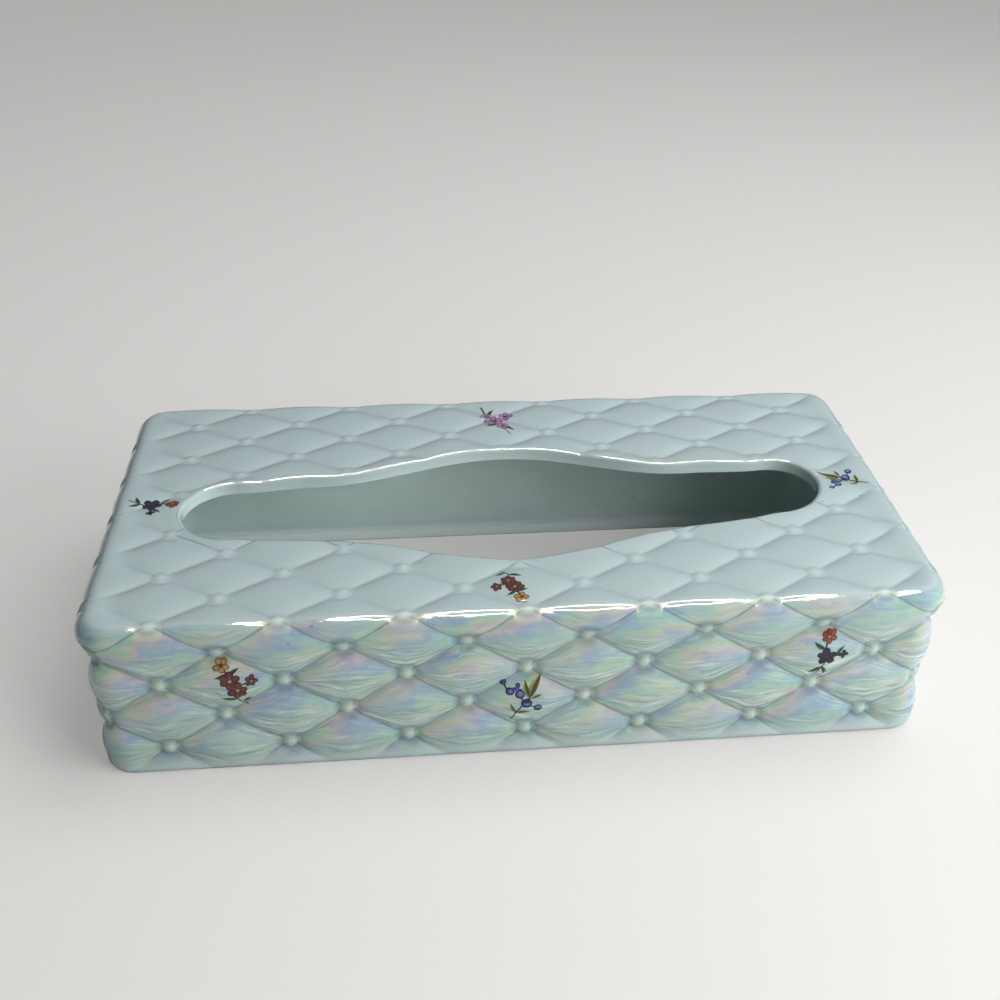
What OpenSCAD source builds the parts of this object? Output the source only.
// Cover for a flat box of paper tissues: one glazed ceramic casting, quilted all over,
// with a lobed slot in its top, an open base and small flower transfers fired onto the glaze.
// Origin at the middle of the base, X along the length, Y towards the back, Z up.

/* [Overall size] */
// Length over the fullest pillows of the two ends
cover_length = 280; // [230:1:330]
// Depth over the fullest pillows of the front and back
cover_depth = 145; // [125:1:175]
// Height from the base to the crown of the top, transfers included
cover_height = 60.3; // [50:0.1:75]

/* [Edges] */
// Radius of the roll between the top and the walls
edge_radius = 6.2; // [4.5:0.1:8]
// Radius of the upright corners, seen from above
corner_radius = 12.5; // [9:0.5:18]
// How far the walls stand back from the roll above them
wall_setback = 1.3; // [0:0.1:4]
// Height over which the walls draw back from the roll
setback_run = 10; // [6:0.5:16]
// How far the foot curls in under the walls
foot_curl = 1.8; // [0.5:0.1:3]
// Height of the curl at the foot
foot_roll = 3; // [2:0.1:5]
// Height over which the quilting fades out above the base
plain_foot = 6; // [4:0.5:14]

/* [Quilting] */
// Diamonds from end to end
diamonds_long = 7; // [5:1:9]
// Half diamonds from front to back
rows_deep = 11; // [9:1:13]
// Distance from one row of buttons to the next down the walls
wall_row_pitch = 13.2; // [10:0.1:15]
// How far the first row of buttons lies beyond the start of the roll
seam_over = 1; // [0:0.1:2.5]
// Depth of the seams in the top
top_tuft = 1.1; // [0.5:0.1:3]
// Depth of the seams in the walls
wall_tuft = 3.3; // [1:0.1:4.5]
// Height of each button above the seams beside it
button_rise = 0.7; // [0.2:0.1:1.5]
// Length at each end of the top over which the tufting fades
end_fade_run = 8; // [4:0.5:16]
// Part of the tufting that is left on the rolls at the two ends
end_roll_share = 0.2; // [0:0.05:1]

/* [Casting] */
// Thickness of the top at the crown of a pillow
top_thickness = 5.6; // [4:0.1:8]
// Thickness of the walls behind the seams
wall_thickness = 4.2; // [3:0.1:6]
// How far the lip turns in around the open base
lip_width = 4.5; // [3:0.5:10]
// Height of the lip
lip_height = 4; // [3:0.5:8]
// Radius of the upright corners of the inside
inside_corner_radius = 8; // [4:0.5:12]

/* [Opening] */
// Top left between each end of the slot and the end of the cover
slot_border = 25.8; // [23:0.1:40]
// Width of the slot beside its lobes
opening_width = 40; // [30:0.5:44]
// Width of the slot at its round ends
end_width = 35; // [26:0.5:40]
// How much further the slot reaches at the middle of each long side
lobe_rise = 15.3; // [8:0.1:18]
// Length of the lobed part of the slot
lobe_length = 138; // [90:1:150]
// How far the slot lies towards the front of the top
opening_shift = 5.5; // [0:0.1:8]
// How much further back the right end of the slot bends
right_bend = 6; // [0:0.5:8]

/* [Transfers] */
// Thickness of the fired print
print_thickness = 0.3; // [0.2:0.05:0.5]
// Height of a sprig on the front or the back
wall_sprig_height = 20.5; // [12:0.5:22]
// Height of the sprig in front of the slot
near_sprig_height = 18; // [12:0.5:20]
// How far the sprig in front of the slot lies left of the middle
near_sprig_aside = 3.3; // [0:0.1:6]
// Height of the sprig behind the slot
far_sprig_height = 23; // [12:0.5:25]
// Bare glaze between a sprig at the end of the slot and the rim or the roll
print_margin = 0.6; // [0.5:0.1:3]
// Width of the stems
stem_width = 0.7; // [0.5:0.1:1.2]

/* [Hidden] */

glaze_colour = [0.74, 0.85, 0.86];
rust_colour = [0.55, 0.26, 0.2];
blue_colour = [0.3, 0.4, 0.7];
plum_colour = [0.26, 0.18, 0.36];
mauve_colour = [0.55, 0.38, 0.5];

// One overrun serves every cut
overrun = 1;
quilted_height = cover_height - print_thickness;

// Samples of the surface fall on the buttons and at these shares of each half diamond
step_shares = [0, 0.25, 0.75];
// Two lattice places this close are the same place
same_place_share = 0.001;
// Run from the first row of buttons to the end of the roll
roll_run = edge_radius * (90 - asin(seam_over / edge_radius)) * PI / 180;

// The lattice: seams run where either of two slanting coordinates is whole, and cross at the buttons
function seam_gap(t) = abs(t - round(t));
function swell(t) = 1 - pow(1 - 2 * seam_gap(t), 2);
function fullness(p, q) = swell((p + q) / 2) * swell((p - q) / 2);
function on_button(p, q) =
    seam_gap((p + q) / 2) < same_place_share && seam_gap((p - q) / 2) < same_place_share;
function tuft_depth(p, q, depth, fade) =
    fade * (depth * (1 - fullness(p, q)) - (on_button(p, q) ? button_rise : 0));
function eased(t) = t <= 0 ? 0 : t >= 1 ? 1 : t * t * (3 - 2 * t);

// The section of the walls, by the distance run down from the first row of buttons
function rolled(run) = min(1, run / roll_run);
function wall_depth(run) = top_tuft + (wall_tuft - top_tuft) * min(1, run / wall_row_pitch);
function wall_z(run) = quilted_height - edge_radius - (run - roll_run);
function roll_angle(start, run) = start + (90 - start) * rolled(run);
function run_z(start, run) =
    run < roll_run ? quilted_height - edge_radius * (1 - cos(roll_angle(start, run))) : wall_z(run);
function curl(z) = z >= foot_roll ? 0 : foot_curl * pow(1 - z / foot_roll, 2);
function run_out(start, run) =
    edge_radius * sin(roll_angle(start, run))
    - wall_setback * eased((run - roll_run) / setback_run) - curl(run_z(start, run));
function foot_fade(z) = min(1, max(0, z / plain_foot));

// The tufting fades towards the ends of the top and comes back by the first row of the end walls
function end_fade(x) = 1 - (1 - end_roll_share) * eased((abs(x) - flat_half_length) / end_fade_run + 1);
function regained(edge_share, run) = 1 - (1 - edge_share) * max(0, 1 - run / wall_row_pitch);

// Runs at which the walls are sampled: the lattice steps, then the curl of the foot
foot_run = roll_run + quilted_height - edge_radius;
wall_steps = [for (k = [0 : floor(foot_run / wall_row_pitch)]) for (s = step_shares) k + s];
wall_runs = concat(
    [for (k = wall_steps) if (k > 0 && wall_z(k * wall_row_pitch) > foot_roll * 2) k * wall_row_pitch],
    [foot_run - foot_roll, foot_run]
);

// How far the fullest point of a wall stands out beyond the start of the roll, by the part of the
// tufting that its roll has
flat_start = asin(seam_over / edge_radius);
function wall_reach(edge_share) = max([
    for (run = wall_runs) for (s = concat(step_shares, [1]))
        run_out(flat_start, run)
        - tuft_depth(s, run / wall_row_pitch, wall_depth(run),
                     foot_fade(run_z(flat_start, run)) * regained(edge_share, run))
]);
side_reach = wall_reach(1);
end_reach = wall_reach(end_roll_share);
flat_half_length = cover_length / 2 - end_reach;
flat_half_depth = cover_depth / 2 - side_reach;
half_pitch = (flat_half_length + seam_over) / diamonds_long;
row_pitch = 2 * (flat_half_depth + seam_over) / rows_deep;
inner_corner_radius = corner_radius - edge_radius;

// Steps of the lattice along the length and the depth
function steps(count) = concat([for (i = [0 : count - 1]) for (s = step_shares) i + s], [count]);
long_steps = steps(2 * diamonds_long);
deep_steps = steps(rows_deep);
long_last = len(long_steps) - 1;
deep_last = len(deep_steps) - 1;
function step_x(u) = (u - diamonds_long) * half_pitch;
function step_y(r) = r * row_pitch - flat_half_depth - seam_over;

// How far a place in plan lies beyond the start of the roll, and which way
function past(v, half) = sign(v) * max(0, abs(v) - half + inner_corner_radius);
function past_corner(x, y) = [past(x, flat_half_length), past(y, flat_half_depth)];
function over(x, y) = max(0, norm(past_corner(x, y)) - inner_corner_radius);
function outward(x, y) = norm(past_corner(x, y)) > 0 ? past_corner(x, y) / norm(past_corner(x, y)) : [0, 0];

// A point of the quilted top
function top_point(u, r) =
    let (x = step_x(u), y = step_y(r), way = outward(x, y), lean = asin(over(x, y) / edge_radius),
         sunk = tuft_depth(u - diamonds_long, r, top_tuft, end_fade(x)))
    [x - sunk * sin(lean) * way[0],
     y - sunk * sin(lean) * way[1],
     quilted_height - edge_radius * (1 - cos(lean)) - sunk * cos(lean)];

// A point of the quilted walls, straight out and down from the edge place u, r;
// w counts the lattice steps around the cover
function wall_point(u, r, w, run) =
    let (x = step_x(u), y = step_y(r), way = outward(x, y), start = asin(over(x, y) / edge_radius),
         lean = roll_angle(start, run), z = run_z(start, run),
         sunk = tuft_depth(w - diamonds_long, run / wall_row_pitch, wall_depth(run),
                           foot_fade(z) * regained(end_fade(x), run)),
         out = run_out(start, run) - over(x, y) - sunk * sin(lean))
    [x + out * way[0], y + out * way[1], z - sunk * cos(lean)];

// Edge places in order around the top: front, right end, back, left end
around = concat(
    [for (i = [0 : long_last - 1]) [i, 0]],
    [for (j = [0 : deep_last - 1]) [long_last, j]],
    [for (i = [long_last : -1 : 1]) [i, deep_last]],
    [for (j = [deep_last : -1 : 1]) [0, j]]
);
round_count = len(around);
function around_steps(i, j, m) =
    m < long_last ? long_steps[i]
    : m < long_last + deep_last ? 2 * diamonds_long + deep_steps[j]
    : m < 2 * long_last + deep_last ? 4 * diamonds_long + rows_deep - long_steps[i]
    : 4 * diamonds_long + 2 * rows_deep - deep_steps[j];
function ring_point(m, run) =
    let (i = around[m][0], j = around[m][1])
    wall_point(long_steps[i], deep_steps[j], around_steps(i, j, m), run);

// Two triangles for a cell, parted along the seam that crosses it
function cell(a, b, c, d, rising) = rising ? [[a, c, b], [a, d, c]] : [[a, d, b], [b, d, c]];
function whole(t) = floor(t + same_place_share);
function is_even(t) = abs(t / 2 - round(t / 2)) < same_place_share;

top_points = [for (j = [0 : deep_last]) for (i = [0 : long_last]) top_point(long_steps[i], deep_steps[j])];
ring_points = [for (run = wall_runs) for (m = [0 : round_count - 1]) ring_point(m, run)];
function top_index(i, j) = j * (long_last + 1) + i;
function ring_index(level, m) =
    level == 0 ? top_index(around[m % round_count][0], around[m % round_count][1])
    : len(top_points) + (level - 1) * round_count + m % round_count;
function level_step(level) = level == 0 ? 0 : wall_runs[level - 1] / wall_row_pitch;
function side_step(m) =
    let (w = around_steps(around[m][0], around[m][1], m))
    whole(w);

top_faces = [
    for (j = [0 : deep_last - 1]) for (i = [0 : long_last - 1])
        each cell(top_index(i, j), top_index(i + 1, j), top_index(i + 1, j + 1), top_index(i, j + 1),
                  is_even(whole(long_steps[i]) + whole(deep_steps[j]) + diamonds_long))
];
side_faces = [
    for (level = [0 : len(wall_runs) - 1]) for (m = [0 : round_count - 1])
        each cell(ring_index(level + 1, m), ring_index(level + 1, m + 1),
                  ring_index(level, m + 1), ring_index(level, m),
                  !is_even(side_step(m) + whole(level_step(level)) + diamonds_long))
];
foot_face = [for (m = [0 : round_count - 1]) ring_index(len(wall_runs), m)];

// The quilted outside, closed across the base
module quilted_block() {
    polyhedron(
        points = concat(top_points, ring_points),
        faces = concat(top_faces, side_faces, [foot_face])
    );
}

// A rectangle with round corners
module round_rectangle(length, depth, radius) {
    square([length - 2 * radius, depth], center = true);
    square([length, depth - 2 * radius], center = true);
    for (sx = [-1, 1]) for (sy = [-1, 1])
        translate([sx * (length / 2 - radius), sy * (depth / 2 - radius)]) circle(r = radius, $fn = 48);
}

// The hollow for the box of tissues, and the narrower way in past the lip
inside_inset = wall_setback + wall_tuft + wall_thickness - edge_radius;
inside_length = cover_length - 2 * (inside_inset + end_reach);
inside_depth = cover_depth - 2 * (inside_inset + side_reach);
inside_top = cover_height - top_thickness;
module hollow() {
    translate([0, 0, lip_height]) linear_extrude(inside_top - lip_height)
        round_rectangle(inside_length, inside_depth, inside_corner_radius);
    translate([0, 0, -overrun]) linear_extrude(lip_height + 2 * overrun)
        round_rectangle(inside_length - 2 * lip_width, inside_depth - 2 * lip_width, inside_corner_radius);
}

// The slot: round ends, sides that draw in towards them, and a wave-shaped lobe at the middle of each
opening_length = cover_length - 2 * slot_border;
end_radius = end_width / 2;
side_half = (opening_length - end_width) / 2;
side_points = 24;
arc_points = 12;
function drawn_in(x) = eased((abs(x) - lobe_length / 2) / (side_half - lobe_length / 2));
function lobe(x) = abs(x) < lobe_length / 2 ? lobe_rise * (1 + cos(360 * x / lobe_length)) / 2 : 0;
function slot_reach(x) = opening_width / 2 - (opening_width - end_width) / 2 * drawn_in(x) + lobe(x);

// The middle line of the slot bends back towards its right end
bend_start = lobe_length / 3;
function bend(x) = right_bend * pow(max(0, (x - bend_start) / (opening_length / 2 - bend_start)), 2);
function slot_place(p) = [p[0], p[1] + bend(p[0]) - opening_shift];
function slot_side(way) = [for (i = [-side_points : side_points])
    let (x = -way * side_half * i / side_points) [x, way * slot_reach(x)]];
function slot_end(way) = [for (i = [1 : arc_points - 1]) let (turn = way * (180 * i / arc_points - 90))
    [way * (side_half + end_radius * cos(turn)), end_radius * sin(turn)]];
module slot_outline() {
    polygon([for (p = concat(slot_side(-1), slot_end(1), slot_side(1), slot_end(-1))) slot_place(p)]);
}
module slot() {
    translate([0, 0, inside_top - overrun]) linear_extrude(top_thickness + 2 * overrun) slot_outline();
}

module cover_shell() {
    color(glaze_colour) difference() {
        quilted_block();
        hollow();
        slot();
    }
}

// A thin sheet that lies on the quilting, over a block of its cells; a print is cut out of it
function sheet_faces(columns, rows, rising) =
    let (row_length = columns + 1, far = row_length * (rows + 1))
    concat(
        [for (j = [0 : rows - 1]) for (i = [0 : columns - 1])
            each cell(j * row_length + i, j * row_length + i + 1,
                      (j + 1) * row_length + i + 1, (j + 1) * row_length + i, rising[j][i])],
        [for (j = [0 : rows - 1]) for (i = [0 : columns - 1])
            each [for (f = cell(j * row_length + i, j * row_length + i + 1,
                                (j + 1) * row_length + i + 1, (j + 1) * row_length + i, rising[j][i]))
                [f[2] + far, f[1] + far, f[0] + far]]],
        [for (i = [0 : columns - 1]) each edge_strip(i, i + 1, far)],
        [for (i = [0 : columns - 1]) each edge_strip(rows * row_length + i + 1, rows * row_length + i, far)],
        [for (j = [0 : rows - 1]) each edge_strip((j + 1) * row_length, j * row_length, far)],
        [for (j = [0 : rows - 1]) each edge_strip(j * row_length + columns, (j + 1) * row_length + columns, far)]
    );
function edge_strip(a, b, far) = [[a, b, b + far], [a, b + far, a + far]];

// Sheet on the top, over the lattice cells from column i0 to i1 and row j0 to j1
module top_sheet(i0, i1, j0, j1) {
    near = [for (j = [j0 : j1]) for (i = [i0 : i1]) top_points[top_index(i, j)]];
    rising = [for (j = [j0 : j1 - 1]) [for (i = [i0 : i1 - 1])
        is_even(whole(long_steps[i]) + whole(deep_steps[j]) + diamonds_long)]];
    polyhedron(
        points = concat([for (p = near) p + [0, 0, print_thickness]], near),
        faces = sheet_faces(i1 - i0, j1 - j0, rising)
    );
}

// Sheet on a wall, over the places m0 to m1 around the cover and the levels l0 to l1 down it
module wall_sheet(m0, m1, l0, l1, way) {
    near = [for (level = [l1 : -1 : l0]) for (m = [m0 : m1])
        level == 0 ? top_points[ring_index(0, m)] : ring_points[ring_index(level, m) - len(top_points)]];
    rising = [for (level = [l1 - 1 : -1 : l0]) [for (m = [m0 : m1 - 1])
        !is_even(side_step(m) + whole(level_step(level)) + diamonds_long)]];
    polyhedron(
        points = concat([for (p = near) p + [0, way * print_thickness, 0]], near),
        faces = sheet_faces(m1 - m0, l1 - l0, rising)
    );
}

// A flower of round petals
petal_radius_share = 0.48;
petal_place_share = 0.56;
module flower(radius, petals) {
    circle(r = radius * petal_radius_share, $fn = 24);
    for (i = [0 : petals - 1])
        rotate(i * 360 / petals + 90) translate([radius * petal_place_share, 0])
            circle(r = radius * petal_radius_share, $fn = 24);
}

// A leaf between two arcs, from its stalk along X
leaf_bow_share = 0.62;
module leaf(length) {
    bow = length * leaf_bow_share;
    drop = sqrt(bow * bow - length * length / 4);
    intersection() {
        translate([length / 2, drop]) circle(r = bow, $fn = 48);
        translate([length / 2, -drop]) circle(r = bow, $fn = 48);
    }
}

// A stem along a few points
module stem(points) {
    for (i = [0 : len(points) - 2]) {
        a = points[i];
        b = points[i + 1];
        translate(a) rotate(atan2(b[1] - a[1], b[0] - a[0]))
            translate([0, -stem_width / 2]) square([norm(b - a), stem_width]);
        translate(b) circle(d = stem_width, $fn = 16);
    }
}

// The blossoms of a sprig: places and radii are shares of the height of the sprig
module blossoms(height, flower_shares, petals) {
    for (f = flower_shares)
        translate([f[0], f[1]] * height) flower(f[2] * height, petals);
}

// The leaves and stems of a sprig, in shares of its height, with each leaf's direction in degrees
module greenery(height, leaf_shares, stem_shares) {
    for (l = leaf_shares)
        translate([l[0], l[1]] * height) rotate(l[3]) leaf(l[2] * height);
    for (s = stem_shares) stem(s * height);
}

// Sprigs, each as [petals, flowers, leaves, stems]
cluster_shares = [
    5,
    [[-0.02, 0.04, 0.17], [0.08, -0.15, 0.16], [0.3, 0.02, 0.11], [-0.12, 0.34, 0.14]],
    [[0.06, -0.33, 0.24, 165], [-0.06, 0.19, 0.2, 200], [-0.04, 0.14, 0.22, 35], [0.13, -0.41, 0.18, 20]],
    [[[-0.12, 0.34], [0, 0.04], [0.08, -0.15], [0.06, -0.33], [0.2, -0.49]], [[0.05, -0.06], [0.3, 0.02]]]
];
bells_shares = [
    4,
    [[-0.2, 0.28, 0.13], [-0.06, 0.2, 0.12], [0.06, -0.06, 0.12], [0.18, -0.22, 0.11], [-0.24, 0.08, 0.08]],
    [[0.04, -0.12, 0.56, 64], [0, -0.04, 0.36, 26], [-0.08, -0.3, 0.24, 235], [0.04, -0.12, 0.24, 205]],
    [[[-0.2, 0.28], [-0.04, 0.04], [0.04, -0.12], [-0.08, -0.3], [-0.14, -0.49]],
     [[0.04, -0.12], [0.18, -0.22]], [[-0.04, 0.04], [-0.24, 0.08]]]
];
pansy_shares = [
    5,
    [[0.02, -0.04, 0.18], [0.02, 0.34, 0.14], [0.3, -0.02, 0.09]],
    [[-0.02, 0.12, 0.24, 145], [0.18, -0.03, 0.22, 55], [-0.02, -0.26, 0.24, 205], [-0.02, -0.26, 0.22, 290]],
    [[[0.02, 0.34], [-0.02, 0.12], [0.02, -0.04], [-0.02, -0.26], [-0.14, -0.49]],
     [[0.02, -0.04], [0.3, -0.02]]]
];
blossom_shares = [
    5,
    [[-0.04, 0.02, 0.17], [0.16, 0.18, 0.14], [0.1, -0.18, 0.12], [-0.18, 0.22, 0.1]],
    [[0.03, -0.09, 0.24, 195], [0.08, -0.2, 0.24, 325], [-0.14, 0.2, 0.22, 60]],
    [[[-0.24, 0.49], [-0.14, 0.2], [-0.02, 0.02], [0.08, -0.2], [0.2, -0.49]],
     [[-0.02, 0.02], [0.16, 0.18]]]
];

// Places of the sprigs on the walls: diamonds from the middle, and rows of buttons from the top
left_place_shares = [-2.41, 1.92];
middle_place_shares = [-0.03, 2.88];
right_place_shares = [2.565, 1.96];

// Glazed land between the rim of the slot and the roll, at the ends, in front and behind; the sprigs
// in front and behind lie at a share of the way out from the rim
end_land = flat_half_length - opening_length / 2;
end_middle = flat_half_length - end_land / 2;
rim_reach = opening_width / 2 + lobe_rise;
land_share = 0.6;
near_place = -land_share * flat_half_depth - (1 - land_share) * (rim_reach + opening_shift);
far_place = land_share * flat_half_depth + (1 - land_share) * (rim_reach - opening_shift);
end_sprig_height = end_land - 2 * print_margin;
// Samples of the quilting that a sheet takes in to each side of its sprig
sheet_sample_count = 5;

// Samples nearest to a place, counted along the steps
function nearest(list, value) =
    let (gaps = [for (v = list) abs(v - value)], least = min(gaps)) search(least, gaps)[0];

module top_print(x, y, turn) {
    i = nearest(long_steps, x / half_pitch + diamonds_long);
    j = nearest(deep_steps, (y + flat_half_depth + seam_over) / row_pitch);
    intersection() {
        top_sheet(max(0, i - sheet_sample_count), min(long_last, i + sheet_sample_count),
                  max(0, j - sheet_sample_count), min(deep_last, j + sheet_sample_count));
        translate([x, y, 0]) rotate(turn) linear_extrude(cover_height + overrun) children();
    }
}

// Facing is -1 on the front and 1 on the back
module wall_print(place_shares, facing) {
    x = place_shares[0] * 2 * half_pitch;
    run = place_shares[1] * wall_row_pitch;
    i = nearest(long_steps, diamonds_long - facing * x / half_pitch);
    m = facing < 0 ? i : 2 * long_last + deep_last - i;
    level = nearest(wall_runs, run) + 1;
    intersection() {
        wall_sheet(m - sheet_sample_count, m + sheet_sample_count,
                   max(0, level - sheet_sample_count),
                   min(len(wall_runs) - 1, level + sheet_sample_count), facing);
        rotate(facing < 0 ? 0 : 180) translate([x, 0, wall_z(run)]) rotate([90, 0, 0])
            linear_extrude(cover_depth / 2 + overrun) children();
    }
}

module sprig_outline(height, shares) {
    blossoms(height, shares[1], shares[0]);
    greenery(height, shares[2], shares[3]);
}

module top_sprig(x, y, turn, height, shares) {
    top_print(x, y, turn) sprig_outline(height, shares);
}

module wall_sprig(place_shares, facing, shares) {
    wall_print(place_shares, facing) sprig_outline(wall_sprig_height, shares);
}

module sprig_top_left() color(plum_colour) top_sprig(-end_middle, 0, -90, end_sprig_height, pansy_shares);
module sprig_top_right() color(blue_colour) top_sprig(end_middle, 0, 90, end_sprig_height, bells_shares);
module sprig_top_back() color(mauve_colour) top_sprig(0, far_place, 0, far_sprig_height, blossom_shares);
module sprig_top_front()
    color(mauve_colour) top_sprig(-near_sprig_aside, near_place, 180, near_sprig_height, cluster_shares);
module sprig_front_left() color(rust_colour) wall_sprig(left_place_shares, -1, cluster_shares);
module sprig_front_middle() color(blue_colour) wall_sprig(middle_place_shares, -1, bells_shares);
module sprig_front_right() color(plum_colour) wall_sprig(right_place_shares, -1, pansy_shares);
module sprig_back_left() color(rust_colour) wall_sprig(left_place_shares, 1, cluster_shares);
module sprig_back_middle() color(blue_colour) wall_sprig(middle_place_shares, 1, bells_shares);
module sprig_back_right() color(plum_colour) wall_sprig(right_place_shares, 1, pansy_shares);

cover_shell();
sprig_top_left();
sprig_top_right();
sprig_top_back();
sprig_top_front();
sprig_front_left();
sprig_front_middle();
sprig_front_right();
sprig_back_left();
sprig_back_middle();
sprig_back_right();
